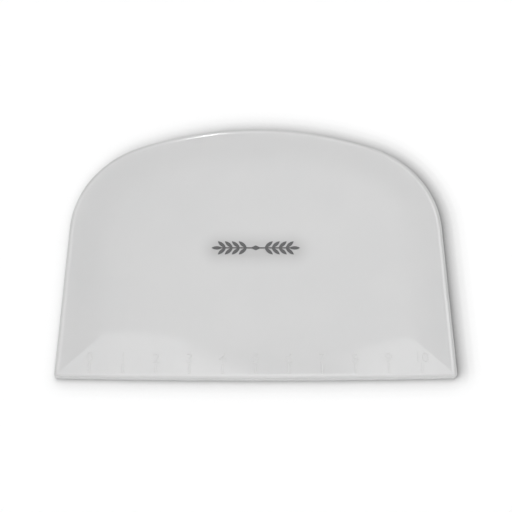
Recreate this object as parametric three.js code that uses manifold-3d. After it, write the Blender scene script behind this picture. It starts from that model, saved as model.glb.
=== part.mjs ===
// A dough and bowl scraper: one thin D-shaped card of milky plastic with a straight scraping edge, two
// leaning sides and a rounded back. The face is bevelled down to a thinner rim all round, a raised centimetre
// scale runs along the straight edge, and a small ornament of two ears of grain is printed on the face.
// Millimetres. The card lies on its flat underside at z = 0, with +X along the straight edge, +Y from that
// edge towards the rounded back, and the origin under the middle of the card.
import * as THREE from "three";
import { mergeVertices } from "three/addons/utils/BufferGeometryUtils.js";
import Module from "manifold-3d";

// Plan of the card
const CARD_WIDTH = 121; // across the two front corners, before they are rounded
const CARD_DEPTH = 86; // from the middle of the straight edge to the top of the back
const EDGE_BOW = 0.7; // how far the straight edge swells out at its middle
const SIDE_LEAN = 2.3; // degrees that each side leans inwards
const CORNER_RADIUS = 1; // front corners
const SHOULDER_RADIUS = 32; // where the sides turn into the back
const BACK_RADIUS = 106; // the shallow arch of the back

// Section of the card, from the rim inwards
const BODY_THICKNESS = 2.6;
const EDGE_THICKNESS = 2; // where the bevel would meet the rim if the rim were not chamfered
const BEVEL_WIDTH = 8; // band of even slope inside the rim
const BLEND_WIDTH = 7; // band in which the slope dies out into the flat middle
const RIM_WIDTH = 1.15; // narrow chamfer along the rim
const RIM_BLEND = 0.8; // band in which the bevel turns into the chamfer
const RIM_TILT = 14; // degrees that the chamfer falls towards the outline
const LIP_ROUND = 0.25; // upper edge of the rim's wall
const FOOT_ROUND = 0.35; // lower edge of the rim's wall

// Raised scale along the straight edge
const MARK_PITCH = 10; // one centimetre
const SCALE_MARGIN = 8; // least distance from the end marks to the front corners
const MARK_SETBACK = 1.5; // from the straight edge to the mark
const MARK_LENGTH = 2.9;
const MARK_WIDTH = 0.6;
const MARK_HEIGHT = 0.2;
const MARK_ROOT = 0.3; // how deep a mark reaches into the card it is moulded with

// Printed ornament: two ears of grain, stem to stem
const PRINT_LENGTH = 27.6;
const INK_THICKNESS = 0.08;
const STEM_WIDTH = 0.42;
const GRAIN_LENGTH = 3.4;
const GRAIN_WIDTH = 1.15;
const GRAIN_SPREAD = 42; // degrees between a grain and its stem
const GRAIN_PAIRS = 4; // on each ear, besides the grain at its tip
const KNOT_LENGTH = 3.4; // diamond in the middle, where the two stems meet
const KNOT_WIDTH = 1.7;

// Fineness of the facets
const EDGE_STEPS = 6;
const CORNER_STEPS = 4;
const SHOULDER_STEPS = 14;
const BACK_STEPS = 12;
const RIM_STEPS = 4;
const LIP_STEPS = 3;
const FOOT_STEPS = 3;
const BLEND_STEPS = 4;
const MARK_STEPS = 3;
const GRAIN_STEPS = 6;

const WELD = 1e-4; // points closer than this are one point
const QUARTER = Math.PI / 2;
const TURN = 2 * Math.PI;
const lean = THREE.MathUtils.degToRad(SIDE_LEAN);
const halfWidth = CARD_WIDTH / 2;
const frontY = -CARD_DEPTH / 2;
const backY = CARD_DEPTH / 2;
const bowRadius = (halfWidth ** 2 + EDGE_BOW ** 2) / (2 * EDGE_BOW);
const bowCentre = new THREE.Vector2(0, frontY + bowRadius);
const backCentre = new THREE.Vector2(0, backY - BACK_RADIUS);

const wasm = await Module();
wasm.setup();

// A closed three.js geometry as a solid that can be joined and cut.
function solidFrom(geometry) {
  const bare = geometry.index ? geometry.toNonIndexed() : geometry.clone();
  bare.deleteAttribute("normal");
  bare.deleteAttribute("uv");
  const merged = mergeVertices(bare, WELD);
  const corners = merged.index.array;
  const triVerts = [];
  for (let i = 0; i < corners.length; i += 3) {
    const [a, b, c] = corners.slice(i, i + 3);
    const flat = a === b || b === c || c === a;
    if (!flat) triVerts.push(a, b, c);
  }
  const mesh = new wasm.Mesh({
    numProp: 3,
    vertProperties: merged.attributes.position.array,
    triVerts: new Uint32Array(triVerts),
  });
  return new wasm.Manifold(mesh);
}

// A joined or cut solid back as a flat-shaded geometry.
function geometryFrom(solid) {
  const mesh = solid.getMesh();
  const geometry = new THREE.BufferGeometry();
  geometry.setAttribute("position", new THREE.BufferAttribute(mesh.vertProperties, 3));
  geometry.setIndex(new THREE.BufferAttribute(mesh.triVerts, 1));
  const faceted = geometry.toNonIndexed();
  faceted.computeVertexNormals();
  return faceted;
}

// Centre of a round that touches the right-hand side and, from inside, an arc centred on the card's middle
// line. End is 1 for the round at the back end of the side and -1 for the one at the front corner.
function roundCentre(radius, arcCentre, arcRadius, end) {
  const along = new THREE.Vector2(-Math.sin(lean), Math.cos(lean));
  const inwards = new THREE.Vector2(-Math.cos(lean), -Math.sin(lean));
  const start = new THREE.Vector2(halfWidth, frontY + EDGE_BOW).addScaledVector(inwards, radius);
  const fromArc = start.clone().sub(arcCentre);
  const middle = fromArc.dot(along);
  const rest = fromArc.lengthSq() - (arcRadius - radius) ** 2;
  return start.addScaledVector(along, end * Math.sqrt(middle ** 2 - rest) - middle);
}

const shoulderCentre = roundCentre(SHOULDER_RADIUS, backCentre, BACK_RADIUS, 1);

// Points on an arc, both ends included.
function arc(centre, radius, from, to, steps) {
  return Array.from({ length: steps + 1 }, (_, i) => {
    const angle = from + ((to - from) * i) / steps;
    return new THREE.Vector2(Math.cos(angle), Math.sin(angle)).multiplyScalar(radius).add(centre);
  });
}

// The card's outline moved inwards by a distance, anticlockwise from the middle of the straight edge. Every
// outline has the same number of points. Past the corner radius the front corners become mitres.
function outline(inset) {
  const cornerRadius = Math.max(CORNER_RADIUS, inset);
  const cornerCentre = roundCentre(cornerRadius, bowCentre, bowRadius, -1);
  const edgeEnd = cornerCentre.clone().sub(bowCentre).angle() - TURN;
  const backStart = shoulderCentre.clone().sub(backCentre).angle();
  const right = [
    ...arc(bowCentre, bowRadius - inset, -QUARTER, edgeEnd, EDGE_STEPS),
    ...arc(cornerCentre, cornerRadius - inset, edgeEnd, lean, CORNER_STEPS).slice(1),
    ...arc(shoulderCentre, SHOULDER_RADIUS - inset, lean, backStart, SHOULDER_STEPS),
    ...arc(backCentre, BACK_RADIUS - inset, backStart, QUARTER, BACK_STEPS).slice(1),
  ];
  const left = right.slice(1, -1).map((p) => new THREE.Vector2(-p.x, p.y));
  return [...right, ...left.reverse()];
}

const rimAngle = THREE.MathUtils.degToRad(RIM_TILT);
const bevelMiddle = BEVEL_WIDTH + BLEND_WIDTH / 2; // where the bevel would start if it were not blended
const slope = (BODY_THICKNESS - EDGE_THICKNESS) / bevelMiddle;
const rimSlope = Math.tan(rimAngle) - slope;

// Drop of a slope that fades in over a blend around its start and runs on towards the outline.
function fall(steepness, start, blend, inset) {
  const past = Math.max(start + blend / 2 - inset, 0);
  if (past < blend) return (steepness * past ** 2) / (2 * blend);
  return steepness * (past - blend / 2);
}

// Height of the face at a distance from the outline: a bevel that dies out into the flat middle, and a chamfer
// along the rim.
function faceHeight(inset) {
  const bevel = fall(slope, bevelMiddle, BLEND_WIDTH, inset);
  const chamfer = fall(rimSlope, RIM_WIDTH, RIM_BLEND, inset);
  return BODY_THICKNESS - bevel - chamfer;
}

// Insets at even steps over a blend around its middle.
function blendInsets(middle, blend, steps) {
  return Array.from({ length: steps + 1 }, (_, i) => middle + blend * (i / steps - 0.5));
}

// Section through the rim as points of inset and height, from the underside up to the flat middle. The two
// rounds are limited by the height of the wall.
function rimSection() {
  const share = Math.min(1, faceHeight(0) / (LIP_ROUND + FOOT_ROUND));
  const foot = FOOT_ROUND * share;
  const lip = LIP_ROUND * share;
  const footCentre = new THREE.Vector2(foot, foot);
  const lipCentre = new THREE.Vector2(lip, faceHeight(lip) - lip / Math.cos(rimAngle));
  const wall = [
    ...arc(footCentre, foot, 3 * QUARTER, 2 * QUARTER, FOOT_STEPS),
    ...arc(lipCentre, lip, 2 * QUARTER, QUARTER + rimAngle, LIP_STEPS),
  ];
  const insets = [
    CORNER_RADIUS,
    ...blendInsets(RIM_WIDTH, RIM_BLEND, RIM_STEPS),
    ...blendInsets(bevelMiddle, BLEND_WIDTH, BLEND_STEPS),
  ];
  const face = insets.filter((inset) => inset > wall.at(-1).x).sort((a, b) => a - b);
  return [...wall, ...face.map((inset) => new THREE.Vector2(inset, faceHeight(inset)))];
}

// A closed skin over rings of plan points, one ring for each point of the section, with flat caps.
function loft(section) {
  const rings = section.map((point) => outline(point.x));
  const count = rings[0].length;
  const positions = rings.flatMap((ring, k) => ring.flatMap((p) => [p.x, p.y, section[k].y]));
  const index = [];
  for (let k = 0; k + 1 < rings.length; k++) {
    for (let i = 0; i < count; i++) {
      const next = (i + 1) % count;
      const [below, above] = [k * count, (k + 1) * count];
      index.push(below + i, below + next, above + next);
      index.push(below + i, above + next, above + i);
    }
  }
  for (const [a, b, c] of THREE.ShapeUtils.triangulateShape(rings[0], [])) {
    index.push(c, b, a);
  }
  const last = (rings.length - 1) * count;
  for (const [a, b, c] of THREE.ShapeUtils.triangulateShape(rings.at(-1), [])) {
    index.push(last + a, last + b, last + c);
  }
  const geometry = new THREE.BufferGeometry();
  geometry.setAttribute("position", new THREE.Float32BufferAttribute(positions, 3));
  geometry.setIndex(index);
  return geometry;
}

// One raised mark of the scale: a rib along Y whose top follows the bevelled face.
function scaleMark(x) {
  const under = [];
  const over = [];
  for (let i = 0; i <= MARK_STEPS; i++) {
    const inset = MARK_SETBACK + (MARK_LENGTH * i) / MARK_STEPS;
    under.push(new THREE.Vector2(inset, faceHeight(inset) - MARK_ROOT));
    over.push(new THREE.Vector2(inset, faceHeight(inset) + MARK_HEIGHT));
  }
  const profile = new THREE.Shape([...under, ...over.reverse()]);
  const rib = new THREE.ExtrudeGeometry(profile, { depth: MARK_WIDTH, bevelEnabled: false });
  const [alongX, alongY, alongZ] = [0, 1, 2].map((i) => new THREE.Vector3().setComponent(i, 1));
  const standing = new THREE.Matrix4().makeBasis(alongY, alongZ, alongX);
  const edgeY = bowCentre.y - Math.sqrt(bowRadius ** 2 - x ** 2);
  return rib.applyMatrix4(standing).translate(x - MARK_WIDTH / 2, edgeY, 0);
}

function scraperCard() {
  const intervals = Math.floor((CARD_WIDTH - 2 * SCALE_MARGIN) / MARK_PITCH);
  let card = solidFrom(loft(rimSection()));
  for (let i = 0; i <= intervals; i++) {
    const x = (i - intervals / 2) * MARK_PITCH;
    card = card.add(solidFrom(scaleMark(x)));
  }
  return geometryFrom(card);
}

// A film of ink over a closed outline.
function inked(points) {
  const film = { depth: INK_THICKNESS, bevelEnabled: false };
  return new THREE.ExtrudeGeometry(new THREE.Shape(points), film);
}

// A grain: a pointed lens between two arcs, from its root at the origin to its tip along +X.
function grain() {
  const radius = (GRAIN_LENGTH ** 2 + GRAIN_WIDTH ** 2) / (4 * GRAIN_WIDTH);
  const half = Math.asin(GRAIN_LENGTH / (2 * radius));
  const drop = radius - GRAIN_WIDTH / 2;
  const overhead = new THREE.Vector2(GRAIN_LENGTH / 2, drop);
  const underneath = new THREE.Vector2(GRAIN_LENGTH / 2, -drop);
  const lower = arc(overhead, radius, -QUARTER - half, -QUARTER + half, GRAIN_STEPS);
  const upper = arc(underneath, radius, QUARTER - half, QUARTER + half, GRAIN_STEPS);
  return inked([...lower.slice(0, -1), ...upper.slice(0, -1)]);
}

// Corners of a rectangle or diamond of a length and width around the origin.
function cornersAround(length, width, signs) {
  return signs.map(([x, y]) => new THREE.Vector2((x * length) / 2, (y * width) / 2));
}

// Two ears of grain on one stem, with a knot in the middle.
function printedOrnament() {
  const spread = THREE.MathUtils.degToRad(GRAIN_SPREAD);
  const tipRoot = PRINT_LENGTH / 2 - GRAIN_LENGTH;
  const stemLength = 2 * tipRoot + GRAIN_LENGTH;
  const pairStep = (tipRoot - KNOT_LENGTH / 2) / GRAIN_PAIRS;
  const stem = inked(cornersAround(stemLength, STEM_WIDTH, [[-1, -1], [1, -1], [1, 1], [-1, 1]]));
  const knot = inked(cornersAround(KNOT_LENGTH, KNOT_WIDTH, [[-1, 0], [0, -1], [1, 0], [0, 1]]));
  let print = solidFrom(stem).add(solidFrom(knot));
  for (const ear of [0, Math.PI]) {
    const places = [{ root: tipRoot, turn: 0 }];
    for (let i = 0; i < GRAIN_PAIRS; i++) {
      const root = KNOT_LENGTH / 2 + pairStep * (i + 0.5);
      places.push({ root, turn: spread }, { root, turn: -spread });
    }
    for (const { root, turn } of places) {
      const placed = grain().rotateZ(turn).translate(root, 0, 0).rotateZ(ear);
      print = print.add(solidFrom(placed));
    }
  }
  return geometryFrom(print);
}

const milkyPlastic = new THREE.MeshStandardMaterial({ color: 0xd3d3d3, roughness: 0.25, metalness: 0 });
const greyInk = new THREE.MeshStandardMaterial({ color: 0x585858, roughness: 0.5, metalness: 0 });

const card = new THREE.Mesh(scraperCard(), milkyPlastic);
card.name = "scraper_card";

const ornament = new THREE.Mesh(printedOrnament(), greyInk);
ornament.name = "printed_ornament";
ornament.position.z = BODY_THICKNESS;

const scraper = new THREE.Group();
scraper.add(card, ornament);

export default scraper;
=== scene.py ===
# %% [markdown]
# # A bowl scraper on a white table
# A bowl scraper is one thin card of milky plastic. Its straight edge cleans a worktop, its round
# back follows the wall of a bowl, and a bevel all round lets the rim bend before the middle does.
# The imported solids fix the frame: everything is in metres, the card lies flat
# on z = 0, the straight edge faces -Y, and the printed face looks up. The box of the solids is
# kept and read for the size of the card.

# %% Load the imported solids
import math

import bmesh
import bpy
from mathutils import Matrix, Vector


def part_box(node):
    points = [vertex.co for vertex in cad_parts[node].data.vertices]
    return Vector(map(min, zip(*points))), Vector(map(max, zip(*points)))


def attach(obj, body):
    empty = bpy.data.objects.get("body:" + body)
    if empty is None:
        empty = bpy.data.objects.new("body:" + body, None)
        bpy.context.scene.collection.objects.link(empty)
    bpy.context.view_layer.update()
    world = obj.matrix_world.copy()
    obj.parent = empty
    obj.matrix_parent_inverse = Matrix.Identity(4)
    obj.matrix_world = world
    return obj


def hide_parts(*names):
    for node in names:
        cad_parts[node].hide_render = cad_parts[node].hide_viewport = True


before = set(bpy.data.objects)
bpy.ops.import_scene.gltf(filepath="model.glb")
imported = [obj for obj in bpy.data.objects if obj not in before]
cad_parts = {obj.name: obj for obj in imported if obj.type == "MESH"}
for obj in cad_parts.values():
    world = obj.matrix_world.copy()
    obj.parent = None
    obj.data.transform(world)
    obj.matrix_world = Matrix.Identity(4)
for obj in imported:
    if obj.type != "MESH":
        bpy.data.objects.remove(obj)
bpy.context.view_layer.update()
bpy.context.scene.view_settings.view_transform = "Standard"
MM = 0.001
TINY = 0.001 * MM
print("solids:", sorted(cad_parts))

# %% [markdown]
# ## Camera
# The card was photographed from above its straight edge, with a long lens: the sides hardly
# converge. A wide lens close by would show the same outline with a bigger front edge. The tilt,
# the distance and the point looked at come from fitting the outline of the card.

# %% Set up the camera
LENS = 100
SENSOR = 36
CAMERA_DISTANCE = 445 * MM
CAMERA_TILT = math.radians(25)
LOOK_AT = Vector((0.07, -1.57, 0)) * MM
line_of_sight = Vector((0, math.sin(CAMERA_TILT), -math.cos(CAMERA_TILT)))
bpy.ops.object.select_all(action="DESELECT")
bpy.ops.object.camera_add(location=LOOK_AT - line_of_sight * CAMERA_DISTANCE, rotation=(CAMERA_TILT, 0, 0))
camera = bpy.context.object
camera.data.lens = LENS
camera.data.sensor_width = SENSOR
bpy.context.scene.camera = camera
print("camera at", [round(value, 4) for value in camera.location])

# %% [markdown]
# ## Helpers for edit mode
# Operators work on what is selected, as they do by hand. One helper opens a piece in edit mode
# with nothing else selected, and one selects the points, edges or faces that pass a test of their
# place or direction. The selecting could be written out at each step, but with these helpers a
# step reads as pick, then do.

# %% Helpers that choose, open and select
def choose(piece):
    """Make the piece the active object and the only one selected."""
    bpy.ops.object.select_all(action="DESELECT")
    piece.select_set(True)
    bpy.context.view_layer.objects.active = piece


def settle():
    """Make the place, turn and scale of what is selected part of its mesh."""
    bpy.ops.object.transform_apply(location=True, rotation=True, scale=True)


def open_piece(piece):
    """Choose the piece and enter edit mode."""
    choose(piece)
    bpy.ops.object.mode_set(mode="EDIT")


def close_piece():
    """Leave edit mode."""
    bpy.ops.object.mode_set(mode="OBJECT")


def pick(piece, kind, test):
    """Select only the points, edges or faces that pass the test, and return how many they are."""
    bpy.ops.mesh.select_mode(type=kind)
    bpy.ops.mesh.select_all(action="DESELECT")
    shape = bmesh.from_edit_mesh(piece.data)
    parts = {"VERT": shape.verts, "EDGE": shape.edges, "FACE": shape.faces}[kind]
    chosen = [part for part in parts if test(part)]
    for part in chosen:
        part.select_set(True)
    shape.select_flush_mode()
    bmesh.update_edit_mesh(piece.data)
    return len(chosen)


def clean_up():
    """Merge doubled points of the open piece and turn its faces outwards."""
    bpy.ops.mesh.select_all(action="SELECT")
    bpy.ops.mesh.remove_doubles(threshold=TINY)
    bpy.ops.mesh.normals_make_consistent(inside=False)


def finish_modifier(piece, kind, **settings):
    """Add a modifier to the piece and apply it."""
    modifier = piece.modifiers.new(kind.title(), kind)
    for name, value in settings.items():
        setattr(modifier, name, value)
    choose(piece)
    bpy.ops.object.modifier_apply(modifier=modifier.name)


print("helpers are ready")

# %% [markdown]
# ## The outline of the card
# The card is a D in plan. Its straight edge swells out a little in the middle, its sides lean in,
# a small arc rounds each front corner, a shoulder arc turns each side into the back, and one flat
# arc makes the back. A curve object could draw it, but arcs that touch each other are exact when a
# point is spun round the centre of each arc in turn. Half of the outline is spun, a mirror makes
# the other half, and a face fills it. The straight edge has few points on purpose: the insets that
# come later need free room beside the corners.

# %% Work out the arcs of the outline
card_low, card_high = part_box("scraper_card")
CARD_WIDTH = 121 * MM
EDGE_BOW = 0.7 * MM
SIDE_LEAN = math.radians(2.3)
CORNER_RADIUS = 1 * MM
SHOULDER_RADIUS = 32 * MM
BACK_RADIUS = 106 * MM
BOW_STEPS = 3
CORNER_STEPS = 8
SHOULDER_STEPS = 36
BACK_STEPS = 24
half_width = CARD_WIDTH / 2
front = card_low.y
bow_radius = (half_width**2 + EDGE_BOW**2) / (2 * EDGE_BOW)
bow_centre = Vector((0, front + bow_radius, 0))
back_centre = Vector((0, card_high.y - BACK_RADIUS, 0))
up_the_side = Vector((math.sin(SIDE_LEAN), math.cos(SIDE_LEAN), 0))
into_the_card = Vector((math.cos(SIDE_LEAN), -math.sin(SIDE_LEAN), 0))


def round_centre(radius, arc_centre, arc_radius, end):
    """Centre of an arc that touches the left side and, from inside, the arc at its front or back end."""
    start = Vector((-half_width, front + EDGE_BOW, 0)) + into_the_card * radius
    offset = start - arc_centre
    middle = offset.dot(up_the_side)
    rest = offset.length_squared - (arc_radius - radius) ** 2
    return start + up_the_side * (end * math.sqrt(middle**2 - rest) - middle)


def turn_from_y(vector):
    """Angle of a direction, clockwise from straight back."""
    return math.atan2(vector.x, vector.y)


corner_centre = round_centre(CORNER_RADIUS, bow_centre, bow_radius, -1)
shoulder_centre = round_centre(SHOULDER_RADIUS, back_centre, BACK_RADIUS, 1)
side_length = (shoulder_centre - corner_centre - into_the_card * (SHOULDER_RADIUS - CORNER_RADIUS)).length
bow_angle = math.asin(-corner_centre.x / (bow_radius - CORNER_RADIUS))
corner_angle = math.pi / 2 + SIDE_LEAN - bow_angle
back_angle = -turn_from_y(shoulder_centre - back_centre)
shoulder_angle = math.pi / 2 - SIDE_LEAN - back_angle
print("side", round(side_length / MM, 2), "mm, shoulder", round(math.degrees(shoulder_angle), 1), "degrees")

# %% Spin half of the outline and mirror it
bpy.ops.object.select_all(action="DESELECT")
bpy.ops.mesh.primitive_plane_add(size=MM, location=(0, front, 0))
card = bpy.context.object
card.name = "moulded_card"
settle()
open_piece(card)
bpy.ops.mesh.merge(type="CENTER")


def spin_arc(centre, angle, steps):
    """Draw an arc, clockwise from above, from the selected point round the centre."""
    bpy.ops.mesh.spin(steps=steps, angle=angle, center=centre, axis=(0, 0, 1))


spin_arc(bow_centre, bow_angle, BOW_STEPS)
spin_arc(corner_centre, corner_angle, CORNER_STEPS)
bpy.ops.mesh.extrude_region_move(TRANSFORM_OT_translate={"value": up_the_side * side_length})
spin_arc(shoulder_centre, shoulder_angle, SHOULDER_STEPS)
spin_arc(back_centre, back_angle, BACK_STEPS)
close_piece()
finish_modifier(card, "MIRROR", merge_threshold=TINY)
open_piece(card)
bpy.ops.mesh.select_all(action="SELECT")
bpy.ops.mesh.edge_face_add()
print("outline of", len(bmesh.from_edit_mesh(card.data).verts), "points")

# %% [markdown]
# ## The thickness, the rim and the bevel
# The card is 2.6 mm thick in the middle and thins towards its rim. From the outside in, the face
# first turns over a small lip, then rises in a narrow chamfer, then in a wide and gentle slope,
# and then dies out into the flat middle. A bevel of the top edge would leave hard lines between
# these, so the top face is inset again and again, and each ring is lifted to the height of that
# curve. Even insets keep the same width round the arcs. Where the rings have used up the radius of
# the front corners, the points of each corner are merged into one, and from there the slopes meet
# in a mitre.

# %% Work out the height of the face
thickness = card_high.z
EDGE_THICKNESS = 2 * MM
BEVEL_WIDTH = 8 * MM
BLEND_WIDTH = 7 * MM
RIM_WIDTH = 1.15 * MM
RIM_BLEND = 0.8 * MM
RIM_TILT = math.radians(14)
LIP_ROUND = 0.25 * MM
slope = (thickness - EDGE_THICKNESS) / (BEVEL_WIDTH + BLEND_WIDTH / 2)
rim_slope = math.tan(RIM_TILT) - slope


def fall(steepness, start, blend, distance):
    """Drop of a slope that fades in over a blend around its start and runs on towards the outline."""
    past = max(start + blend / 2 - distance, 0)
    if past < blend:
        return steepness * past**2 / (2 * blend)
    return steepness * (past - blend / 2)


def face_height(distance):
    """Height of the face at a distance in from the outline."""
    bevel = fall(slope, BEVEL_WIDTH + BLEND_WIDTH / 2, BLEND_WIDTH, distance)
    chamfer = fall(rim_slope, RIM_WIDTH, RIM_BLEND, distance)
    turn = 1 - min(distance / LIP_ROUND, 1)
    lip = LIP_ROUND * (1 - math.sqrt(1 - turn**2))
    return thickness - bevel - chamfer - lip


print("middle", round(thickness / MM, 2), "mm thick, wall", round(face_height(0) / MM, 2), "mm high")

# %% Extrude the plan and inset ring after ring
LIP_STEPS = 5
RIM_STEPS = 8
BLEND_STEPS = 10
CORNER_END = 0.96 * CORNER_RADIUS
CORNER_MERGE = 0.3 * MM


def shares(steps):
    """Even shares of a whole, from none to all of it."""
    return [step / steps for step in range(steps + 1)]


rings = [LIP_ROUND * (1 - math.cos(math.pi / 2 * share)) for share in shares(LIP_STEPS)]
rings += [RIM_WIDTH + RIM_BLEND * (share - 0.5) for share in shares(RIM_STEPS)]
rings += [BEVEL_WIDTH + BLEND_WIDTH * share for share in shares(BLEND_STEPS)]
rings = sorted(rings + [CORNER_END])
bpy.ops.mesh.extrude_region_move(TRANSFORM_OT_translate={"value": (0, 0, face_height(0))})
clean_up()
pick(card, "FACE", lambda face: face.normal.z > 0.9)
for outer, inner in zip(rings, rings[1:]):
    rise = face_height(inner) - face_height(outer)
    bpy.ops.mesh.inset(thickness=inner - outer, depth=rise, use_even_offset=True)
    if inner == CORNER_END:
        bpy.ops.mesh.remove_doubles(threshold=CORNER_MERGE)
print("bevel of", round(math.degrees(math.atan(slope)), 2), "degrees in", len(rings) - 1, "rings")

# %% [markdown]
# ## The foot
# The edge of the underside is only broken, because the mould parts there. A rounder foot would open
# a dark gap under the rim, which a card that lies flat doesn't show. One bevel of the lowest ring of
# edges does it.

# %% Round the foot
FOOT_ROUND = 0.05 * MM


def is_foot(edge):
    """True for an edge of the underside's outline."""
    return all(abs(point.co.z) < TINY for point in edge.verts)


foot_count = pick(card, "EDGE", is_foot)
bpy.ops.mesh.bevel(offset=FOOT_ROUND, segments=4, affect="EDGES", clamp_overlap=False)
clean_up()
close_piece()
print("rounded", foot_count, "foot edges")

# %% [markdown]
# ## The raised scale
# A scale of centimetres is cast along the straight edge: a short rib for each, with its number
# behind it. They could be painted on, but raised relief is what catches the light on the real
# card. One rib is modelled and copied, and each number is a text made into a mesh. All of them are
# tilted to lie on the bevel, and sink a little into it so that they can be joined with it.

# %% Model one rib and place its copies
MARK_COUNT = 11
MARK_PITCH = 10 * MM
MARK_SETBACK = 1.5 * MM
MARK_LENGTH = 2.9 * MM
MARK_WIDTH = 0.6 * MM
RELIEF_HEIGHT = 0.14 * MM
RELIEF_ROOT = 0.3 * MM
RELIEF_ROUND = 0.12 * MM
bevel_tilt = math.atan(slope)


def edge_line(x):
    """Where the straight edge lies, at a place across the card."""
    return bow_centre.y - math.sqrt(bow_radius**2 - x**2)


def mark_place(number):
    """Where a mark of the scale lies across the card."""
    return (number - (MARK_COUNT - 1) / 2) * MARK_PITCH


def lay_on_bevel(piece, x, setback):
    """Put a piece on the bevel, tilted with it, and make its place part of its mesh."""
    piece.location = (x, edge_line(x) + setback, face_height(setback))
    piece.rotation_euler = (bevel_tilt, 0, 0)
    choose(piece)
    settle()


bpy.ops.object.select_all(action="DESELECT")
bpy.ops.mesh.primitive_cube_add(size=1, scale=(MARK_WIDTH, MARK_LENGTH, RELIEF_HEIGHT + RELIEF_ROOT))
rib = bpy.context.object
rib.location = (0, MARK_LENGTH / 2, (RELIEF_HEIGHT - RELIEF_ROOT) / 2)
settle()
open_piece(rib)
pick(rib, "EDGE", lambda edge: all(point.co.z > 0 for point in edge.verts))
bpy.ops.mesh.bevel(offset=RELIEF_ROUND, segments=3, affect="EDGES")
close_piece()
relief = []
for number in range(MARK_COUNT):
    copy = rib.copy()
    copy.data = rib.data.copy()
    bpy.context.scene.collection.objects.link(copy)
    lay_on_bevel(copy, mark_place(number), MARK_SETBACK)
    relief.append(copy)
bpy.data.objects.remove(rib)
print(len(relief), "ribs")

# %% Write the numbers behind the ribs
NUMBER_HEIGHT = 3.1 * MM
NUMBER_SETBACK = 4.9 * MM
NUMBER_ROUND = 0.06 * MM
DIGIT_SHARE = 0.7
for number in range(MARK_COUNT):
    bpy.ops.object.select_all(action="DESELECT")
    bpy.ops.object.text_add()
    figure = bpy.context.object
    figure.data.body = str(number)
    figure.data.align_x = "CENTER"
    figure.data.size = NUMBER_HEIGHT / DIGIT_SHARE
    figure.data.extrude = (RELIEF_HEIGHT + RELIEF_ROOT) / 2 - NUMBER_ROUND
    figure.data.bevel_depth = NUMBER_ROUND
    figure.data.bevel_resolution = 1
    figure.data.offset = -NUMBER_ROUND
    bpy.ops.object.convert(target="MESH")
    figure.location = (0, 0, (RELIEF_HEIGHT - RELIEF_ROOT) / 2)
    settle()
    open_piece(figure)
    clean_up()
    close_piece()
    lay_on_bevel(figure, mark_place(number), NUMBER_SETBACK)
    relief.append(figure)
print("number size", [round(value / MM, 2) for value in relief[-1].dimensions])

# %% [markdown]
# ## One moulding
# The scale is cast in one shot with the card, so light passes from one into the other. Loose
# pieces that only overlap would show their hidden undersides inside the milky plastic. A boolean
# union makes one skin of them all. Weighted normals then keep the wide faces flat and the mitres
# at the corners crisp, and round only what is really round.

# %% Join the relief to the card
bpy.ops.object.select_all(action="DESELECT")
for piece in relief:
    piece.select_set(True)
bpy.context.view_layer.objects.active = relief[0]
bpy.ops.object.join()
scale_relief = bpy.context.object
finish_modifier(card, "BOOLEAN", operation="UNION", solver="MANIFOLD", object=scale_relief)
bpy.data.objects.remove(scale_relief)
open_piece(card)
clean_up()
shape = bmesh.from_edit_mesh(card.data)
open_edges = sum(not edge.is_manifold for edge in shape.edges)
print("card of", len(shape.faces), "faces,", open_edges, "open edges")

# %% Shade the card
MITRE_SLACK = 0.1 * MM
CREASE = math.radians(40)


def off_mitre(place):
    """How much nearer a place is to the side than to the straight edge, or the other way round."""
    to_side = (half_width - abs(place.x)) * math.cos(SIDE_LEAN)
    to_side -= (place.y - front - EDGE_BOW) * math.sin(SIDE_LEAN)
    return abs(to_side - (place.y - edge_line(place.x)))


def is_mitre(edge):
    """True for an edge along the mitre of a front corner."""
    ends = [point.co for point in edge.verts]
    on_face = min(end.z for end in ends) > face_height(CORNER_END) - TINY
    return on_face and max(off_mitre(end) for end in ends) < MITRE_SLACK


mitre_count = pick(card, "EDGE", is_mitre)
bpy.ops.mesh.mark_sharp()
close_piece()
bpy.ops.object.shade_smooth_by_angle(angle=CREASE, keep_sharp_edges=True)
finish_modifier(card, "WEIGHTED_NORMAL", keep_sharp=True, weight=100)
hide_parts("scraper_card")
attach(card, "root")
print(mitre_count, "mitre edges kept crisp")

# %% [markdown]
# ## Shader maths as expressions
# A finish is mostly arithmetic on patterns. Wiring each sum by hand takes a line per node, so one
# small class wraps a socket: an operator on it adds the Math node, and one method adds any other
# node, first its settings and then its sockets.

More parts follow.
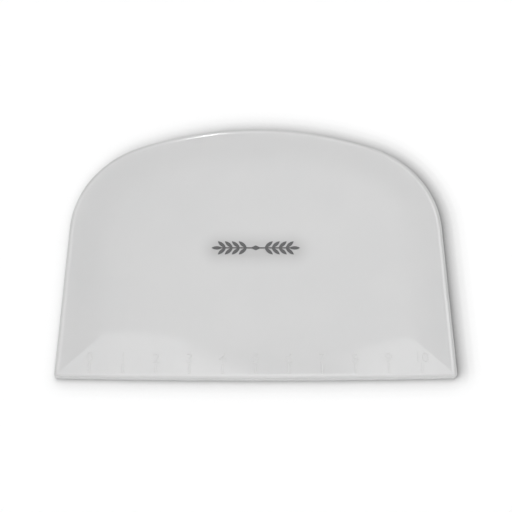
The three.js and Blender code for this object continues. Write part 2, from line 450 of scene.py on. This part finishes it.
# %% A socket that does sums
class Wire:
    """One output of a shader node, which can be added, multiplied and fed to other nodes."""

    def __init__(self, tree, socket):
        self.tree = tree
        self.socket = socket

    def node(self, kind, settings, sockets, output=0):
        """Add a node, make its settings, fill its sockets, and return one of its outputs."""
        made = self.tree.nodes.new(kind)
        for name, value in settings.items():
            setattr(made, name, value)
        for name, value in sockets.items():
            if isinstance(value, Wire):
                self.tree.links.new(value.socket, made.inputs[name])
            else:
                made.inputs[name].default_value = value
        return Wire(self.tree, made.outputs[output])

    def feed(self, shader, name):
        """Link this value to a socket of a shader."""
        self.tree.links.new(self.socket, shader.inputs[name])

    def sum(self, operation, first, second=0.0):
        """Add a Math node for any operation."""
        return self.node("ShaderNodeMath", {"operation": operation}, {0: first, 1: second})

    def __add__(self, other):
        return self.sum("ADD", self, other)

    def __radd__(self, other):
        return self.sum("ADD", other, self)

    def __sub__(self, other):
        return self.sum("SUBTRACT", self, other)

    def __rsub__(self, other):
        return self.sum("SUBTRACT", other, self)

    def __mul__(self, other):
        return self.sum("MULTIPLY", self, other)

    def __rmul__(self, other):
        return self.sum("MULTIPLY", other, self)

    def __truediv__(self, other):
        return self.sum("DIVIDE", self, other)

    def __pow__(self, other):
        return self.sum("POWER", self, other)

    def __abs__(self):
        return self.sum("ABSOLUTE", self)

    def at_least(self, other):
        """The greater of this value and another."""
        return self.sum("MAXIMUM", self, other)

    def at_most(self, other):
        """The smaller of this value and another."""
        return self.sum("MINIMUM", self, other)

    def step(self, start, end):
        """Rise smoothly from 0 to 1 as this value goes from start to end."""
        sockets = {"Value": self, "From Min": start, "From Max": end}
        return self.node("ShaderNodeMapRange", {"interpolation_type": "SMOOTHSTEP"}, sockets)

    def blend(self, first, second):
        """Mix two colours: the first where this value is 0, the second where it is 1."""
        return self.node("ShaderNodeMix", {"data_type": "RGBA"}, {0: self, 6: first, 7: second}, 2)

    def axis(self, name):
        """One of the three parts of a place or direction."""
        return self.node("ShaderNodeSeparateXYZ", {}, {"Vector": self}, name)

    def noise(self, scale, detail):
        """Cloudy noise over a place, around one half."""
        sockets = {"Vector": self, "Scale": scale, "Detail": detail}
        return self.node("ShaderNodeTexNoise", {}, sockets, "Fac")

    def bump(self, distance):
        """Normals of a surface that this value raises by up to the distance."""
        sockets = {"Strength": 1.0, "Distance": distance, "Height": self}
        return self.node("ShaderNodeBump", {}, sockets)


print("sums on sockets are ready")

# %% Helpers that start a finish and put it on
def new_finish(name):
    """Start a material and return it with its shader node and the place on the piece."""
    material = bpy.data.materials.new(name)
    material.use_nodes = True
    tree = material.node_tree
    shader = tree.nodes["Principled BSDF"]
    place = Wire(tree, tree.nodes.new("ShaderNodeTexCoord").outputs["Object"])
    return material, shader, place


def put_on(piece, material):
    """Make the material the only one of the piece."""
    piece.data.materials.clear()
    piece.data.materials.append(material)
    print(material.name, "with", len(material.node_tree.nodes), "nodes")


PLASTIC_IOR = 1.5
print("index of refraction of plastic and ink:", PLASTIC_IOR)

# %% [markdown]
# ## Milky plastic
# The card is natural polyethylene, which scatters light within a fraction of a millimetre, so it
# looks milky and soft at its edges, with a clear gloss on top. One flat grey would look like
# paint. Subsurface scattering gives the depth. Slow clouds in the colour stand for uneven resin,
# a very low ripple in the surface for the skin of the mould, and fine scratches along the straight
# edge for use, which dull the gloss there a little. The chamfer of the rim is painted greyer, a
# painted shade for light that leaks out of the card there, and the wall below it is painted paler,
# a painted light for the light of the table that comes through it. The print keeps light out of the
# plastic under it, so a painted shade spreads a few millimetres round it, a little towards the
# straight edge.

# %% Patterns of the milky plastic
SCATTER = 0.5 * MM
SCRATCH_TURN = 0.2
SCRATCH_SCALE = (150.0, 2600.0, 1.0)
WEAR_REACH = 14 * MM
plastic, shader, place = new_finish("milky_plastic_finish")
shader.inputs["IOR"].default_value = PLASTIC_IOR
shader.inputs["Subsurface Weight"].default_value = 1.0
shader.inputs["Subsurface Radius"].default_value = (1.0, 1.0, 1.0)
shader.inputs["Subsurface Scale"].default_value = SCATTER
across = place.axis("X")
along = place.axis("Y")
above = place.axis("Z")
clouds = place.noise(45.0, 3.0)
ripple = place.noise(420.0, 1.0)
grain = place.noise(3200.0, 2.0)
sockets = {"Vector": place, "Rotation": (0, 0, SCRATCH_TURN), "Scale": SCRATCH_SCALE}
stretched = place.node("ShaderNodeMapping", {}, sockets)
scratches = stretched.noise(1.0, 2.0).step(0.6, 0.72)
near_edge = 1 - along.step(front, front + WEAR_REACH)
wear = scratches * near_edge
print("patterns from", len(plastic.node_tree.nodes), "nodes")

# %% Colour of the milky plastic
MILKY = (0.632, 0.632, 0.632, 1.0)
CLOUDY = (0.622, 0.623, 0.624, 1.0)
# Painted shade: the chamfer of the rim is coloured greyer than the face
PAINTED_CHAMFER_SHADE = (0.55, 0.55, 0.55, 1.0)
# Painted light: the wall below the lip is coloured paler than the face
PAINTED_WALL_LIGHT = (0.69, 0.69, 0.69, 1.0)
SHADED = (0.16, 0.16, 0.16, 1.0)
SHADE_SPREAD = 7.5 * MM
SHADE_SHIFT = -0.4 * MM
SHADE_STRENGTH = 0.4
SHADE_LIMIT = 0.5
rim_top = face_height(RIM_WIDTH)
wall_top = face_height(LIP_ROUND)
on_chamfer = 1 - above.step(rim_top - 0.15 * MM, rim_top - 0.03 * MM)
on_wall = 1 - above.step(wall_top - 0.3 * MM, wall_top - 0.1 * MM)
colour = clouds.step(0.35, 0.65).blend(MILKY, CLOUDY)
# Painted shade: a darker grey on the chamfer, chosen by height
colour = on_chamfer.blend(colour, PAINTED_CHAMFER_SHADE)
# Painted light: a paler colour on the wall, chosen by height
colour = on_wall.blend(colour, PAINTED_WALL_LIGHT)
# Painted shade: the colour darkens towards SHADED within a few millimetres of the print
print_low, print_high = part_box("printed_ornament")
print_middle = (print_low + print_high) / 2
print_half = (print_high - print_low) / 2
print_line = print_half.x - print_half.y
beside = (abs(across - print_middle.x) - print_line).at_least(0.0)
behind = along - print_middle.y - SHADE_SHIFT
from_print = (beside * beside + behind * behind) ** 0.5
shade = ((1 - from_print / SHADE_SPREAD).at_least(0.0) ** 2).at_most(SHADE_LIMIT)
colour = (SHADE_STRENGTH * shade).blend(colour, SHADED)
colour.feed(shader, "Base Color")
print("shade round a print of", round(print_half.x * 2 / MM, 1), "mm")

# %% Gloss and skin of the milky plastic
GLOSS_ROUGHNESS = 0.05
SKIN_DEPTH = 0.0015 * MM
roughness = GLOSS_ROUGHNESS + 0.03 * clouds + 0.12 * wear
roughness.feed(shader, "Roughness")
skin = ripple + 0.1 * grain - 0.3 * wear
skin.bump(SKIN_DEPTH).feed(shader, "Normal")
put_on(card, plastic)

# %% [markdown]
# ## Printing ink
# The ornament is a film of dark grey ink, screen printed on the face. Its solid already has the
# right shape, so it stays, and only its finish is made here: a screen leaves the ink mottled, with
# thin spots where the plastic shines through, and dull beside the gloss of the plastic.

# %% Mix the ink
FULL_INK = (0.085, 0.085, 0.087, 1.0)
THIN_INK = (0.16, 0.16, 0.162, 1.0)
FILM_DEPTH = 0.004 * MM
ink, shader, place = new_finish("grey_ink_finish")
shader.inputs["IOR"].default_value = PLASTIC_IOR
mottle = place.noise(1500.0, 3.0)
specks = place.node("ShaderNodeTexVoronoi", {}, {"Vector": place, "Scale": 2600.0}, "Distance")
thin_spots = mottle.step(0.45, 0.75) * (1 - specks.step(0.1, 0.5))
thin_spots.blend(FULL_INK, THIN_INK).feed(shader, "Base Color")
roughness = 0.42 + 0.15 * mottle
roughness.feed(shader, "Roughness")
mottle.bump(FILM_DEPTH).feed(shader, "Normal")
put_on(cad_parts["printed_ornament"], ink)

# %% [markdown]
# ## White table
# The card lies on a plain white table that is lit just up to white, so that only the shadow of the
# rim shows on it. The table is a hair below the card, so that the two faces don't fight. So thin a
# card hardly shades a table under a big soft light, so the paint of the table darkens beside it: it
# asks how open the space is towards the left, where the room is brighter, and how open it is
# towards the back, and takes the darker answer. The shadow is then deep on the right of the card
# and faint on its left. A strong lamp on the left would do this too, but it would also show in the
# gloss. Only what is seen is darkened so: the light that the table throws on the wall of the card
# stays white.

# %% Lay the table
TABLE_GAP = 0.02 * MM
TABLE_WIDTH = 6
bpy.ops.object.select_all(action="DESELECT")
bpy.ops.mesh.primitive_plane_add(size=TABLE_WIDTH, location=(0, 0, -TABLE_GAP))
table = bpy.context.object
table.name = "white_table"
print("table", table.dimensions[:2])

# %% Paint the table
TABLE_WHITE = 0.945
LEFT_LEAN, LEFT_TURN = math.radians(60), math.radians(205)
BACK_LEAN, BACK_TURN = math.radians(75), math.radians(90)
LEFT_DEPTH = 0.85
BACK_DEPTH = 0.5
SHADOW_REACHES = (4 * MM, 6 * MM, 8 * MM)
SHADOW_SAMPLES = 8
paint, shader, place = new_finish("white_table_finish")
shader.inputs["Roughness"].default_value = 1.0
shader.inputs["Specular IOR Level"].default_value = 0.0


def openness(lean, turn):
    """How freely light from one side reaches a spot on the table, past the card."""
    aim = Vector((math.cos(turn), math.sin(turn), 0)) * math.sin(lean)
    leaning = place.node("ShaderNodeCombineXYZ", {}, {"X": aim.x, "Y": aim.y, "Z": math.cos(lean)})
    settings = {"samples": SHADOW_SAMPLES}
    total = 0
    for reach in SHADOW_REACHES:
        sockets = {"Distance": reach, "Normal": leaning}
        total = total + place.node("ShaderNodeAmbientOcclusion", settings, sockets, "AO")
    return total / len(SHADOW_REACHES)


from_the_left = 1 - LEFT_DEPTH + LEFT_DEPTH * openness(LEFT_LEAN, LEFT_TURN) ** 2
from_the_back = 1 - BACK_DEPTH + BACK_DEPTH * openness(BACK_LEAN, BACK_TURN)
shadow = from_the_left.at_most(from_the_back)
seen = place.node("ShaderNodeLightPath", {}, {}, "Is Camera Ray")
seen = seen + place.node("ShaderNodeLightPath", {}, {}, "Is Glossy Ray")
whiteness = TABLE_WHITE * (1 - seen * (1 - shadow))
whiteness.feed(shader, "Base Color")
put_on(table, paint)

# %% [markdown]
# ## Studio light
# The white ceiling of the studio lights the card from all sides, a little more from the front than
# from the back, and it is also what the glossy face mirrors. A broad panel shows in the flat face,
# a lamp on each side in the bevel of the straight edge, a front lamp in the chamfer there, and a
# small back lamp as the bright spot on the round back. A frame of light shows where the bevel turns
# into the chamfer of the rim, and windows on the left and at the back show in that chamfer. Area
# lamps would do, but a world painted as a ceiling lights the whole table evenly. A direction is
# turned into a place on the ceiling by dividing by its height.

# %% Lay out the ceiling
LOWEST = 0.02
world = bpy.data.worlds.new("studio_ceiling")
world.use_nodes = True
bpy.context.scene.world = world
tree = world.node_tree
direction = Wire(tree, tree.nodes.new("ShaderNodeTexCoord").outputs["Generated"])
upwards = direction.axis("Z")
backwards = direction.axis("Y")
height = upwards.at_least(LOWEST)
ceiling_x = direction.axis("X") / height
ceiling_y = backwards / height


def from_middle(x, y, half_x, half_y, power=2):
    """How far a place on the ceiling is from the middle of an oval, with 1 at its edge.

    More power makes the oval squarer.
    """
    right = (ceiling_x - x) / half_x
    up = (ceiling_y - y) / half_y
    return (right**power + up**power) ** (1 / power)


def lit(strength, distance, start, end):
    """Light that is full up to one distance from the middle of a lamp and gone at another."""
    return strength * (1 - distance.step(start, end))


print("ceiling laid out with", len(tree.nodes), "nodes")

# %% Hang the lamps
# Each oval is given by its middle and its half widths, first across the card, then towards the back
PANEL = (0.05, 0.45, 0.33, 0.385)
LEFT_PANE = (-0.12, 0.1, 0.08, 0.3)
LEFT_WING = (-0.2, 0.1, 0.3, 0.2)
RIGHT_PANE = (0.16, 0.1, 0.108, 0.3)
RIGHT_FOOT = (0.2, -0.1, 0.15, 0.15)
FRONT_BAND = (0.0, -0.2, 0.4, 0.2)
BACK_SPOT = (-0.088, 1.0, 0.035, 0.25)
LEFT_WINDOW = (-0.75, 0.45, 0.3, 0.6)
BACK_WINDOW = (0.0, 1.65, 0.6, 0.45)
FRAME = (0.0, 0.45, 1.0, 1.0)
left_shape = from_middle(*LEFT_PANE, power=4).at_most(from_middle(*LEFT_WING))
right_shape = from_middle(*RIGHT_PANE).at_most(from_middle(*RIGHT_FOOT))
from_frame = from_middle(*FRAME)
frame_strength = 2.5 + 1.4 * ceiling_x + 1.3 * ceiling_y.step(0.8, 1.0)
frame_ends = from_frame.step(0.29, 0.31) * ceiling_y.step(0.15, 0.3)
lamps = [
    lit(1.35, from_middle(*PANEL), 0.1, 1.0),
    lit((3.2 + 13.0 * ceiling_x).at_most(3.0), left_shape, 0.97, 1.03),
    lit((1.9 + 2.7 * ceiling_y).at_most(2.45), right_shape, 0.95, 1.03),
    lit(2.9, from_middle(*FRONT_BAND), 0.5, 1.0),
    lit(20.0, from_middle(*BACK_SPOT), 0.5, 1.1),
    lit(1.3, from_middle(*LEFT_WINDOW), 0.8, 1.1),
    lit(0.8, from_middle(*BACK_WINDOW), 0.8, 1.1),
    lit(frame_strength * frame_ends, from_frame, 0.56, 0.66),
]
brightest = lamps[0]
for lamp in lamps[1:]:
    brightest = brightest.at_least(lamp)
print(len(lamps), "lamps")

# %% Paint the ceiling
FILL = 0.507
FRONT_FILL = 0.4
fill = FILL - FRONT_FILL * backwards
horizon = 1 - upwards.step(0.08, 0.14)
light = fill + brightest + (1 - fill) * horizon
light.feed(tree.nodes["Background"], "Color")
print("ceiling of", len(tree.nodes), "nodes")
